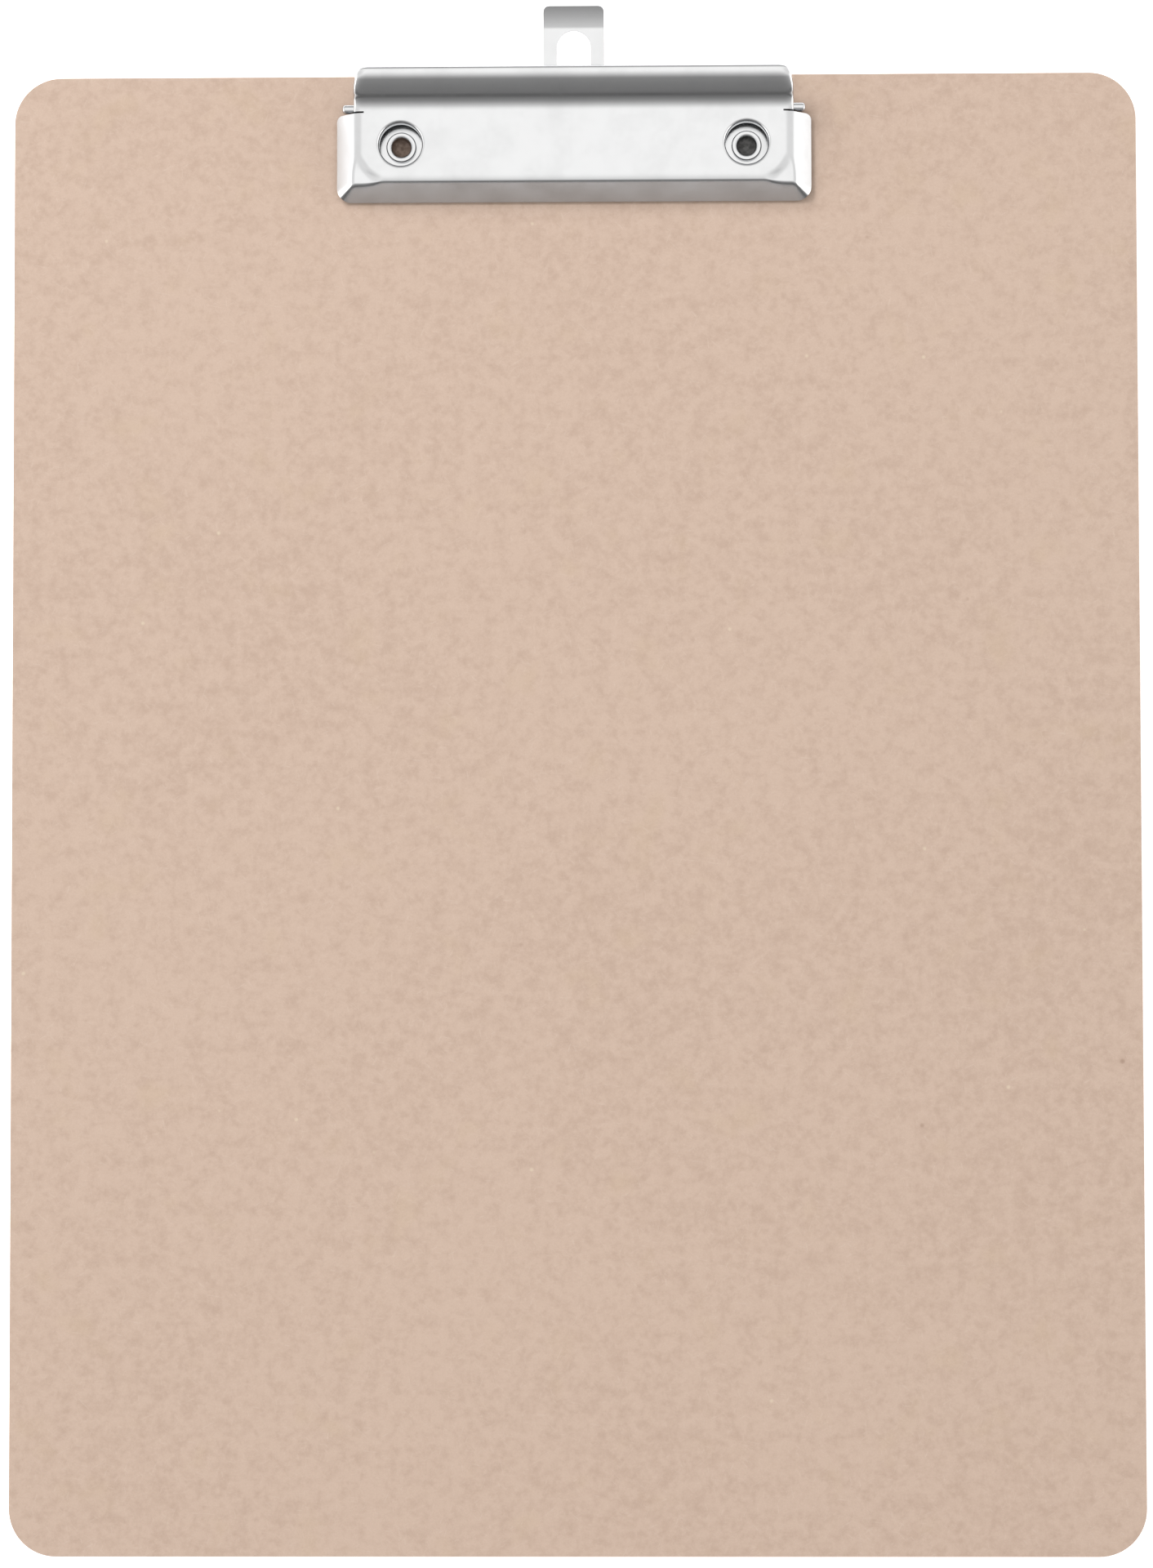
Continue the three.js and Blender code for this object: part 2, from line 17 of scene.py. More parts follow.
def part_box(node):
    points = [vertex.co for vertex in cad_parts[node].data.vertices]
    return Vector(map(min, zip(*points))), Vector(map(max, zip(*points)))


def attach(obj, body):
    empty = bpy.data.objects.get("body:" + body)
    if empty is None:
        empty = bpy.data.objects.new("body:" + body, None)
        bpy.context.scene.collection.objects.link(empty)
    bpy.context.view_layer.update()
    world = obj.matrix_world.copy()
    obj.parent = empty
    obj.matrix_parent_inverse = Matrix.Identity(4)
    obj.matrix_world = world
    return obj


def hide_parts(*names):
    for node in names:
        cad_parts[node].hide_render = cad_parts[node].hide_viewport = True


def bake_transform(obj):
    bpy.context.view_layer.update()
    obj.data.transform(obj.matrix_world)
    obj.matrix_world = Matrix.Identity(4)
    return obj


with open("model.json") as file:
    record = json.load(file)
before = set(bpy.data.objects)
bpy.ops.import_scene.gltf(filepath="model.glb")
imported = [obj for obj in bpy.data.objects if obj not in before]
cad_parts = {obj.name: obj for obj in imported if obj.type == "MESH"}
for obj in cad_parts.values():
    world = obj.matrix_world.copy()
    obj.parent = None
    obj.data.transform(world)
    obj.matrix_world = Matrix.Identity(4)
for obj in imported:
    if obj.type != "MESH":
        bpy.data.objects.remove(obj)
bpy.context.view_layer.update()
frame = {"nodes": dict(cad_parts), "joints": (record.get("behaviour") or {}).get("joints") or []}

MM = 0.001
MERGE_DISTANCE = 0.002
BOARD_LOW, BOARD_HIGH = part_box("board")
CLIP_ORIGIN = Vector((0, BOARD_HIGH.y, BOARD_HIGH.z))


def in_clip_frame(point):
    """A point of the row's frame, in the clip's own millimetres."""
    return (point - CLIP_ORIGIN) / MM


# ---------------------------------------------------------------- dimensions, in millimetres

BOARD_WIDTH = (BOARD_HIGH.x - BOARD_LOW.x) / MM
BOARD_LENGTH = (BOARD_HIGH.y - BOARD_LOW.y) / MM
BOARD_THICKNESS = (BOARD_HIGH.z - BOARD_LOW.z) / MM
BOARD_CORNER = 10.0
BOARD_EDGE_ROUND = 0.35

JAW_HINGE = next(j for j in frame["joints"] if j["name"] == "jaw_hinge")
PIVOT = in_clip_frame(Vector(JAW_HINGE["pos_m"]))

RIVET_LOW, RIVET_HIGH = (in_clip_frame(p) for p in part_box("rivet_right"))
RIVET_X = (RIVET_LOW.x + RIVET_HIGH.x) / 2
RIVET_Y = (RIVET_LOW.y + RIVET_HIGH.y) / 2
RIVET_BORE = 2.0
RIVET_TUBE = 2.5
RIVET_HOLE = 2.6
RIVET_FLANGE = 4.0
RIVET_FLANGE_THICKNESS = 0.5
RIVET_FLANGE_ROUND = 0.15
RIVET_HEAD_RADIUS = 3.2
RIVET_HEAD_HEIGHT = 1.1
RIVET_HEAD_ROUNDS = (0.6, 0.3)
RIVET_WEB_TOP = -0.7
RIVET_WEB_BOTTOM = -1.2
RIVET_EDGE_ROUND = 0.04
BORE_CUP = 0.9
# Below this height over the collar's underside, the bore is painted dark as shade.
BORE_SHADE_RISE = 0.4
RECESS_RADIUS = 4.3
RECESS_DEPTH = 0.7

ROD_LOW, ROD_HIGH = (in_clip_frame(p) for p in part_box("pivot_rod"))
ROD_HALF_LENGTH = (ROD_HIGH.x - ROD_LOW.x) / 2
ROD_RADIUS = 1.0
ROD_END_ROUND = 0.75
ROD_HOLE = 1.06

WING_HALF_SPAN = in_clip_frame(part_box("jaw_plate")[1]).x
JAW_SHEET = 0.7
JAW_EDGE_ROUND = 0.15
PANEL_TOP = 5.5
LIP_START = 21.6
LIP_BENDS = [(6.0, 17), (0.9, 50)]
LIP_BOTTOM = 0.2
WING_START = 44.5
WING_BENDS = [(4.2, 44)]
WING_REAR = -8.9
WING_CORNER = 3.0
WING_REAR_CORNER = 1.2
CREASE_SHARPNESS = 6
PANEL_CORNER = 4.5
SHOULDER_DROP = 0.9
SHOULDER_BENDS = [(2.0, 46)]
LEVER_MOVES = [
    ("bend", 20, 4.1),
    ("bend", 27, 4.6),
    ("bend", -3, 14.6),
    ("bend", -9, 21.5),
    ("bend", -35, 3.5),
    ("bend", -100, 0.85),
    ("run", 0.3),
]
BEND_FACET = 5.0
RUN_STEPS = 3
TAPER_START = -5.0
TAPER_END = 1.0
TAPER_DEPTH = 4.0
CHEEK_X = 46.9
CHEEK_FOLD_WIDTH = 2.2
CHEEK_FOLD_DEPTH = 0.75
CHEEK_RADIUS = 2.4
CHEEK_START = -8.5
ACCESS_RADIUS = 4.6
ACCESS_FLARE = 0.7
ACCESS_RIM_BOTTOM = 3.0
ACCESS_RIM_SHARE = 0.98
ACCESS_PATCH = 5.9
PATCH_CELLS = 28
PATCH_RINGS = 7

TAB_LOW, TAB_HIGH = (in_clip_frame(p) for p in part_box("hanging_tab"))
TAB_SHEET = 0.7
TAB_TOP = 0.8
TAB_HALF_WIDTH = 6.5
TAB_SHOULDER_HALF_WIDTH = TAB_HIGH.x
TAB_SHOULDER_REAR = -5.5
TAB_SHOULDER_CORNER = 1.0
TAB_FLAT_END = 9.6
TAB_BENDS = [(2.0, 20), (22.0, 32)]
TAB_FINE_STRIP = 0.7
TAB_EDGE_STRIP = 1.0
TAB_EDGE_ROUND = 0.12
TAB_END = TAB_HIGH.y - TAB_SHEET * math.sin(math.radians(TAB_BENDS[-1][1]))
TAB_CORNER = 1.2
EYE_HALF_WIDTH = 3.6
EYE_FRONT = -2.0
EYE_REAR = 9.5

SPRING_LOW, SPRING_HIGH = (in_clip_frame(p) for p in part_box("spring_right"))
WIRE_RADIUS = 0.4
WIRE_SIDES = 14
WIRE_END_ROUND = 0.08
COIL_RADIUS = 1.5
COIL_TURNS = 6
COIL_PITCH = 0.87
MOVING_LEG_ANGLE = math.radians(20)
FIXED_LEG_END = (-1.6, 1.1)
MOVING_LEG_BEND_Y = -3.8
MOVING_LEG_BEND_REACH = 0.8
MOVING_LEG_TIP = (-2.9, 7.7)

BASE_EDGE_ROUND = 0.1
BASE_WELD_DISTANCE = 0.001


# ---------------------------------------------------------------- studio, in metres and degrees,
# with the camera's sensor and lens in millimetres

FLOOR_HALF_SIZE = 12.0
FLOOR_GAP = 0.0002
KEY_PLACE = (-0.95, 1.25, 1.25)
KEY_SIZE = 0.8
KEY_POWER = 36.0
CAMERA_TURNS = (-3.042, -1.159, 0.106)
CAMERA_OFFSET = Vector((-0.27, -5.52, -997.46)) * MM
CAMERA_SENSOR = 36.0
CAMERA_LENS = 107.8
CAMERA_CLIP_START = 0.01


# ---------------------------------------------------------------- mesh helpers


def to_row(x, y, z):
    """A point of the clip's frame, in the row's frame in metres."""
    return CLIP_ORIGIN + Vector((x, y, z)) * MM


def spaced(start, end, steps):
    """Evenly spaced numbers from start to end, both included."""
    return [start + (end - start) * i / steps for i in range(steps + 1)]


def circle(centre_x, centre_y, radius, count):
    """Points round a circle, counter-clockwise, as (x, y)."""
    turns = [2 * math.pi * i / count for i in range(count)]
    return [(centre_x + radius * math.cos(a), centre_y + radius * math.sin(a)) for a in turns]


def arc(centre_u, centre_v, radius, start, end, steps):
    """Points on an arc between two angles in degrees, both included."""
    angles = [math.radians(a) for a in spaced(start, end, steps)]
    return [(centre_u + radius * math.cos(a), centre_v + radius * math.sin(a)) for a in angles]


def bent_line(start, moves):
    """The side view of a bent sheet's outside, as (y, z, heading) from a level start towards +y."""
    y, z = start
    heading = 0.0
    line = [(y, z, heading)]
    for kind, amount, *radius in moves:
        steps = RUN_STEPS if kind == "run" else max(2, round(abs(amount) / BEND_FACET))
        for _ in range(steps):
            turn = math.radians(amount) / steps if kind == "bend" else 0.0
            if kind == "bend":
                length = 2 * radius[0] * math.sin(abs(turn) / 2)
            else:
                length = amount / steps
            y += length * math.cos(heading + turn / 2)
            z += length * math.sin(heading + turn / 2)
            heading += turn
            line.append((y, z, heading))
    return line


def grid_faces(bm, rows):
    """Joins rows of vertices, all of one length, with quads. A None leaves a gap."""
    for low, high in zip(rows, rows[1:]):
        for i in range(len(low) - 1):
            corners = (low[i], low[i + 1], high[i + 1], high[i])
            if None not in corners and len(set(corners)) == 4:
                bm.faces.new(corners)


def ring_faces(bm, rings):
    """Joins closed rings of vertices, all of one length, with quads."""
    grid_faces(bm, [[*ring, ring[0]] for ring in rings])


def fill_outlines(bm, loops):
    """Fills the flat region between closed loops of vertices."""
    edges = []
    for loop in loops:
        for a, b in zip(loop, [*loop[1:], loop[0]]):
            edges.append(bm.edges.get((a, b)) or bm.edges.new((a, b)))
    bmesh.ops.triangle_fill(bm, use_beauty=True, use_dissolve=False, edges=edges)


def make_object(name, bm, material, up=None):
    """A smooth-shaded mesh object. For an open sheet, up says which way its faces look on average."""
    bmesh.ops.remove_doubles(bm, verts=bm.verts, dist=MERGE_DISTANCE * MM)
    bmesh.ops.recalc_face_normals(bm, faces=bm.faces)
    if up is not None:
        facing = sum((f.normal * f.calc_area() for f in bm.faces), Vector())
        if facing.dot(Vector(up)) < 0:
            bmesh.ops.reverse_faces(bm, faces=bm.faces)
    mesh = bpy.data.meshes.new(name)
    bm.to_mesh(mesh)
    bm.free()
    mesh.shade_smooth()
    mesh.materials.append(material)
    piece = bpy.data.objects.new(name, mesh)
    bpy.context.scene.collection.objects.link(piece)
    return piece


def thicken(piece, thickness):
    """Gives an open sheet its thickness, on the side away from its faces."""
    solidify = piece.modifiers.new("sheet", "SOLIDIFY")
    solidify.thickness = thickness * MM
    solidify.offset = -1


def ease_edges(piece, width, angle=50, segments=2):
    """Rounds the sharp edges a little, so that they catch the light as pressed metal does."""
    bevel = piece.modifiers.new("edges", "BEVEL")
    bevel.width = width * MM
    bevel.segments = segments
    bevel.limit_method = "ANGLE"
    bevel.angle_limit = math.radians(angle)
    bevel.harden_normals = True


def revolve(bm, profile, place, segments=64):
    """A solid of revolution from (radius, height) points, from the axis out and back to it.

    place turns (x, y, height) into a point of the row's frame.
    """
    columns = []
    for radius, height in profile:
        if radius == 0:
            columns.append([bm.verts.new(place(0, 0, height))] * segments)
        else:
            points = circle(0, 0, radius, segments)
            columns.append([bm.verts.new(place(x, y, height)) for x, y in points])
    for low, high in zip(columns, columns[1:]):
        for i in range(segments):
            j = (i + 1) % segments
            corners = list(dict.fromkeys((low[i], low[j], high[j], high[i])))
            if len(corners) > 2:
                bm.faces.new(corners)


# ---------------------------------------------------------------- board


def rounded_rectangle(half_x, half_y, radius, steps=16):
    """A rectangle's corner points as (x, y), counter-clockwise."""
    centres = [(1, 1, 0), (-1, 1, 90), (-1, -1, 180), (1, -1, 270)]
    points = []
    for side_x, side_y, start in centres:
        centre = side_x * (half_x - radius), side_y * (half_y - radius)
        points += arc(*centre, radius, start, start + 90, steps)
    return points


def make_board(material):
    """The sheet, with a hole for each rivet and a recess behind it for the rivet's flange."""
    bm = bmesh.new()
    middle_y = -BOARD_LENGTH / 2
    outline = rounded_rectangle(BOARD_WIDTH / 2, BOARD_LENGTH / 2, BOARD_CORNER)

    def loop(points, z):
        return [bm.verts.new(to_row(x, y, z)) for x, y in points]

    outer = [(x, y + middle_y) for x, y in outline]
    front, back = loop(outer, 0), loop(outer, -BOARD_THICKNESS)
    ring_faces(bm, [front, back])
    front_loops, back_loops = [front], [back]
    recess_z = -BOARD_THICKNESS + RECESS_DEPTH
    for x in (-RIVET_X, RIVET_X):
        steps = [
            (RIVET_HOLE, 0),
            (RIVET_HOLE, recess_z),
            (RECESS_RADIUS, recess_z),
            (RECESS_RADIUS, -BOARD_THICKNESS),
        ]
        rings = [loop(circle(x, RIVET_Y, radius, 48), z) for radius, z in steps]
        ring_faces(bm, rings)
        front_loops.append(rings[0])
        back_loops.append(rings[-1])
    fill_outlines(bm, front_loops)
    fill_outlines(bm, back_loops)
    board = make_object("hardboard_sheet", bm, material)
    ease_edges(board, BOARD_EDGE_ROUND, segments=3)
    return board


# ---------------------------------------------------------------- jaw plate


def fold_drop(reach, bends):
    """How far a folded surface has dropped at a distance past the start of its fold.

    Each bend is a radius and the slope that it ends at, and the last slope goes straight on.
    """
    drop = 0.0
    slope = 0.0
    for radius, end_degrees in bends:
        end = math.radians(end_degrees)
        length = radius * (math.sin(end) - math.sin(slope))
        if reach < length:
            here = math.asin(math.sin(slope) + max(0.0, reach) / radius)
            return drop + radius * (math.cos(slope) - math.cos(here))
        drop += radius * (math.cos(slope) - math.cos(end))
        reach -= length
        slope = end
    return drop + reach * math.tan(slope)


def fold_length(bends):
    """How far the bends of a fold reach, seen from above."""
    length = 0.0
    slope = 0.0
    for radius, end_degrees in bends:
        end = math.radians(end_degrees)
        length += radius * (math.sin(end) - math.sin(slope))
        slope = end
    return length


LIP_FOLD_END = LIP_START + fold_length(LIP_BENDS)
LIP_GENTLE = fold_length(LIP_BENDS[:1])
LIP_SLOPE = math.radians(LIP_BENDS[-1][1])
LIP_EDGE = LIP_BOTTOM + JAW_SHEET * math.cos(LIP_SLOPE)
LIP_FRONT = -LIP_FOLD_END - (
    PANEL_TOP - fold_drop(LIP_FOLD_END - LIP_START, LIP_BENDS) - LIP_EDGE
) / math.tan(LIP_SLOPE)


def larger(a, b, sharpness):
    """The larger of two numbers that aren't negative, with a soft change from one to the other."""
    return (a**sharpness + b**sharpness) ** (1 / sharpness)


def pan_height(x, y):
    """The height of the pan's outside: the panel, its lip and wings, and the shoulder at each corner."""
    lip = fold_drop(-y - LIP_START, LIP_BENDS)
    wing = fold_drop(abs(x) - WING_START, WING_BENDS)
    beyond_x = max(0.0, abs(x) - WING_START + PANEL_CORNER)
    beyond_y = max(0.0, -y - LIP_START + PANEL_CORNER)
    folds = larger(lip, wing, CREASE_SHARPNESS)
    if beyond_x == 0 or beyond_y == 0:
        return PANEL_TOP - folds
    turn = math.atan2(beyond_y, beyond_x)
    corner = fold_drop(math.hypot(beyond_x, beyond_y) - PANEL_CORNER, SHOULDER_BENDS)
    shoulder = SHOULDER_DROP * math.tanh(corner / SHOULDER_DROP) * math.sin(2 * turn)
    return PANEL_TOP - larger(folds, shoulder, CREASE_SHARPNESS)


def round_plan_corner(x, y):
    """Bends the wing's two square corners to their radii, in plan."""
    for radius, edge_y, way in ((WING_CORNER, LIP_FRONT, -1), (WING_REAR_CORNER, WING_REAR, 1)):
        a = (abs(x) - WING_HALF_SPAN + radius) / radius
        b = way * (y - edge_y + way * radius) / radius
        if a > 0 and b > 0:
            corner_x = WING_HALF_SPAN - radius + radius * a * math.sqrt(1 - b * b / 2)
            corner_y = edge_y - way * radius * (1 - b * math.sqrt(1 - a * a / 2))
            return math.copysign(corner_x, x), corner_y
    return x, y


def across_lines():
    """Where the jaw's grid lines run, as x from the middle to the wing's edge."""
    patch_start = RIVET_X - ACCESS_PATCH
    patch_end = RIVET_X + ACCESS_PATCH
    fold_end = WING_START + fold_length(WING_BENDS)
    stretches = [
        (0, patch_start, 32),
        (patch_start, patch_end, PATCH_CELLS),
        (patch_end, WING_START, 6),
        (WING_START, fold_end, 8),
        (fold_end, WING_HALF_SPAN - WING_CORNER, 3),
        (WING_HALF_SPAN - WING_CORNER, WING_HALF_SPAN, 10),
    ]
    return join_stretches(stretches)


def along_lines():
    """Where the pan's grid lines run, as y from the wings' rear end to the lip's edge."""
    patch_end = RIVET_Y - ACCESS_PATCH
    stretches = [
        (WING_REAR, RIVET_Y + ACCESS_PATCH, 3),
        (RIVET_Y + ACCESS_PATCH, patch_end, PATCH_CELLS),
        (patch_end, -LIP_START - LIP_GENTLE, 5),
        (-LIP_START - LIP_GENTLE, -LIP_FOLD_END, 6),
        (-LIP_FOLD_END, LIP_FRONT, 12),
    ]
    return join_stretches(stretches)


def join_stretches(stretches):
    """One list of grid lines from stretches, each a start, an end and a number of steps."""
    lines = [stretches[0][0]]
    for start, end, steps in stretches:
        lines += spaced(start, end, steps)[1:]
    return lines


def mirrored(values):
    """Values from the middle outwards, continued to the other side."""
    return [-v for v in reversed(values[1:])] + values


def add_pan(bm, lines_x):
    """The panel, lip and wings as one grid, with a square left out round each access hole."""

    def in_patch(x, y):
        return abs(abs(x) - RIVET_X) < ACCESS_PATCH and abs(y - RIVET_Y) < ACCESS_PATCH

    lines_y = along_lines()
    rows = []
    for y in lines_y:
        row = []
        for x in lines_x:
            plan_x, plan_y = round_plan_corner(x, y)
            row.append(bm.verts.new(to_row(plan_x, plan_y, pan_height(plan_x, plan_y))))
        rows.append(row)
    for j in range(len(lines_y) - 1):
        for i in range(len(lines_x) - 1):
            middle_x = (lines_x[i] + lines_x[i + 1]) / 2
            middle_y = (lines_y[j] + lines_y[j + 1]) / 2
            if not in_patch(middle_x, middle_y):
                bm.faces.new((rows[j][i], rows[j + 1][i], rows[j + 1][i + 1], rows[j][i + 1]))


def add_access_hole(bm, centre_x):
    """The square round an access hole: rings from the square to the hole, and its drawn rim."""
    square = []
    steps = spaced(-ACCESS_PATCH, ACCESS_PATCH, PATCH_CELLS)[:-1]
    square += [(s, -ACCESS_PATCH) for s in steps]
    square += [(ACCESS_PATCH, s) for s in steps]
    square += [(-s, ACCESS_PATCH) for s in steps]
    square += [(-ACCESS_PATCH, -s) for s in steps]
    rings = []
    hole = ACCESS_RADIUS + ACCESS_FLARE
    for share in spaced(0, 1, PATCH_RINGS):
        ring = []
        for x, y in square:
            angle = math.atan2(y, x)
            to_x = x + (hole * math.cos(angle) - x) * share
            to_y = y + (hole * math.sin(angle) - y) * share
            plan_x, plan_y = centre_x + to_x, RIVET_Y + to_y
            ring.append(bm.verts.new(to_row(plan_x, plan_y, pan_height(plan_x, plan_y))))
        rings.append(ring)
    flare = [
        (hole - ACCESS_FLARE * math.sin(a), ACCESS_FLARE * (1 - math.cos(a)))
        for a in (math.radians(d) for d in spaced(0, 90, 8)[1:])
    ]
    for radius, drop in [*flare, (ACCESS_RADIUS, PANEL_TOP - ACCESS_RIM_BOTTOM)]:
        ring = []
        for x, y in square:
            angle = math.atan2(y, x)
            plan_x = centre_x + radius * math.cos(angle)
            plan_y = RIVET_Y + radius * math.sin(angle)
            # Where the lip's fold has lowered the hole's edge, the rim starts lower too.
            z = min(PANEL_TOP - drop, pan_height(plan_x, plan_y) - drop * ACCESS_RIM_SHARE)
            ring.append(bm.verts.new(to_row(plan_x, plan_y, z)))
        rings.append(ring)
    ring_faces(bm, rings)


def end_across(y):
    """How far out the lever's ends reach at a place along it: its rear corners are rounded in plan."""
    share = min(1.0, max(0.0, (y - TAPER_START) / (TAPER_END - TAPER_START)))
    return CHEEK_X - TAPER_DEPTH * (1 - math.sqrt(1 - share**2))


def add_lever(bm, lines_x):
    """The S-shaped lever with its hem, and a rounded fold along each end that turns down.

    Up to the outer side of the squares round the access holes, the lever's grid lines run on from
    the panel's. Past that they are shifted, so that the outermost one lies where the fold starts.
    """
    flat_lines = [x for x in lines_x if abs(x) <= WING_START]
    shared = RIVET_X + ACCESS_PATCH
    fold_angles = [math.radians(a) for a in spaced(0, 90, 12)[1:]]
    rows = []
    fold_ends = []
    for y, z, heading in bent_line((WING_REAR, PANEL_TOP), LEVER_MOVES):
        end_y = y + CHEEK_FOLD_DEPTH * math.sin(heading)
        end_z = z - CHEEK_FOLD_DEPTH * math.cos(heading)
        fold_x = end_across(end_y) - CHEEK_FOLD_WIDTH
        squeeze = (fold_x - shared) / (WING_START - shared)
        row = []
        for x in flat_lines:
            beyond = max(0.0, abs(x) - shared)
            across = abs(x) - beyond + beyond * squeeze
            row.append(bm.verts.new(to_row(math.copysign(across, x), y, z)))
        sides = []
        for side in (-1, 1):
            turned = []
            for angle in fold_angles:
                x = fold_x + CHEEK_FOLD_WIDTH * math.sin(angle)
                depth = CHEEK_FOLD_DEPTH * (1 - math.cos(angle))
                place = to_row(side * x, y + depth * math.sin(heading), z - depth * math.cos(heading))
                turned.append(bm.verts.new(place) if end_y > CHEEK_START else None)
            sides.append(turned)
        rows.append([*reversed(sides[0]), *row, *sides[1]])
        if end_y > CHEEK_START:
            fold_ends.append((end_y, end_z))
    grid_faces(bm, rows)
    return fold_ends


def add_cheek(bm, fold_ends, side):
    """One cheek: the web under the lever's folded end, and its round lug with the rod's hole."""
    lug = arc(PIVOT.y, PIVOT.z, CHEEK_RADIUS, 15, -195, 36)
    outline = [*fold_ends, *lug]
    hole = circle(PIVOT.y, PIVOT.z, ROD_HOLE, 32)
    between = circle(PIVOT.y, PIVOT.z, (ROD_HOLE + CHEEK_RADIUS) / 2, 32)
    points = [Vector(point) for point in [*outline, *hole, *between]]
    loops = [list(range(len(outline))), [len(outline) + i for i in reversed(range(len(hole)))]]
    edges = [(a, b) for loop in loops for a, b in zip(loop, [*loop[1:], loop[0]])]
    filled = delaunay_2d_cdt(points, edges, [], 2, 1e-6)
    flat_points, triangles = filled[0], filled[2]
    verts = [bm.verts.new(to_row(side * end_across(y), y, z)) for y, z in flat_points]
    for triangle in triangles:
        bm.faces.new([verts[i] for i in triangle])


def make_jaw(material):
    """The whole jaw plate as one pressing: pan, access holes, lever and cheeks."""
    bm = bmesh.new()
    lines_x = mirrored(across_lines())
    add_pan(bm, lines_x)
    for side in (-1, 1):
        add_access_hole(bm, side * RIVET_X)
    fold_ends = add_lever(bm, lines_x)
    for side in (-1, 1):
        add_cheek(bm, fold_ends, side)
    jaw = make_object("jaw_plate_pressing", bm, material, up=(0, 0, 1))
    thicken(jaw, JAW_SHEET)
    ease_edges(jaw, JAW_EDGE_ROUND)
    return jaw


# ---------------------------------------------------------------- rivets, rod and springs


def make_rivet(name, x, material, shaded_bore_material):
    """A semi-tubular rivet: its open end is rolled over into a collar, and a web closes its bore."""
    bm = bmesh.new()
    head_bottom = RIVET_HIGH.z - RIVET_HEAD_HEIGHT
    inner_round, outer_round = RIVET_HEAD_ROUNDS
    head_top = RIVET_HIGH.z
    cup = [math.radians(a) for a in spaced(0, 90, 10)]
    flange_low = RIVET_LOW.z
    flange_high = flange_low + RIVET_FLANGE_THICKNESS
    soften = RIVET_FLANGE_ROUND
    profile = [
        (0, RIVET_WEB_BOTTOM),
        *arc(RIVET_BORE - soften, RIVET_WEB_BOTTOM - soften, soften, 90, 0, 4),
        (RIVET_BORE, flange_low + soften),
        (RIVET_BORE + soften, flange_low),
        *arc(RIVET_FLANGE - soften, flange_low + soften, soften, -90, 0, 4),
        *arc(RIVET_FLANGE - soften, flange_high - soften, soften, 0, 90, 4),
        (RIVET_TUBE, flange_high),
        (RIVET_TUBE, head_bottom),
        (RIVET_HEAD_RADIUS, head_bottom),
        *arc(RIVET_HEAD_RADIUS - outer_round, head_top - outer_round, outer_round, 0, 90, 12),
        *arc(RIVET_BORE + inner_round, head_top - inner_round, inner_round, 90, 180, 12),
        *[(RIVET_BORE * math.cos(a), RIVET_WEB_TOP + BORE_CUP * (1 - math.sin(a))) for a in cup],
    ]

    def place(u, v, height):
        return to_row(x + u, RIVET_Y + v, height)

    revolve(bm, profile, place)
    rivet = make_object(name, bm, material)
    rivet.data.materials.append(shaded_bore_material)
    # The bore's deep part and its web take the second material, painted dark as shade.
    middle = to_row(x, RIVET_Y, 0)
    for face in rivet.data.polygons:
        from_axis = math.hypot(face.center.x - middle.x, face.center.y - middle.y) / MM
        if from_axis < RIVET_BORE and in_clip_frame(face.center).z < head_bottom + BORE_SHADE_RISE:
            face.material_index = 1
    ease_edges(rivet, RIVET_EDGE_ROUND, angle=60)
    return rivet


def make_rod(material):
    """The pivot rod, which lies along x through both cheeks and has rounded ends."""
    bm = bmesh.new()
    straight = ROD_HALF_LENGTH - ROD_END_ROUND
    core = ROD_RADIUS - ROD_END_ROUND
    profile = [
        (0, -ROD_HALF_LENGTH),
        *arc(core, -straight, ROD_END_ROUND, -90, 0, 8),
        *arc(core, straight, ROD_END_ROUND, 0, 90, 8),
        (0, ROD_HALF_LENGTH),
    ]

    def place(u, v, along):
        return to_row(along, PIVOT.y + u, PIVOT.z + v)

    revolve(bm, profile, place, segments=32)
    return make_object("pivot_rod_turned", bm, material)


def spring_route():
    """The right spring's wire as points: its fixed leg, its coil, and the leg under the lever."""
    coil_x = SPRING_LOW.x + WIRE_RADIUS
    fixed_y, fixed_z = FIXED_LEG_END
    bottom = PIVOT.z - COIL_RADIUS
    route = [
        Vector((coil_x, y, fixed_z + (bottom - fixed_z) * (fixed_y - y) / (fixed_y - PIVOT.y)))
        for y in spaced(fixed_y, PIVOT.y, 8)[:-1]
    ]
    last_angle = 2 * math.pi * (COIL_TURNS - 0.5) - MOVING_LEG_ANGLE
    for angle in spaced(0, last_angle, 32 * COIL_TURNS):
        route.append(Vector((
            coil_x + COIL_PITCH * angle / (2 * math.pi),
            PIVOT.y - COIL_RADIUS * math.sin(angle),
            PIVOT.z - COIL_RADIUS * math.cos(angle),
        )))
    leave = route[-1]
    bend = Vector((
        leave.x,
        MOVING_LEG_BEND_Y,
        leave.z + (MOVING_LEG_BEND_Y - leave.y) * math.tan(MOVING_LEG_ANGLE),
    ))
    tip = Vector((leave.x, *MOVING_LEG_TIP))
    along = (bend - leave).normalized()
    away = (tip - bend).normalized()
    before = bend - along * MOVING_LEG_BEND_REACH
    after = bend + away * MOVING_LEG_BEND_REACH
    route += [leave.lerp(before, s) for s in spaced(0, 1, 6)[1:]]
    for s in spaced(0, 1, 8)[1:]:
        route.append(before.lerp(bend, s).lerp(bend.lerp(after, s), s))
    route += [after.lerp(tip, s) for s in spaced(0, 1, 4)[1:]]
    return route


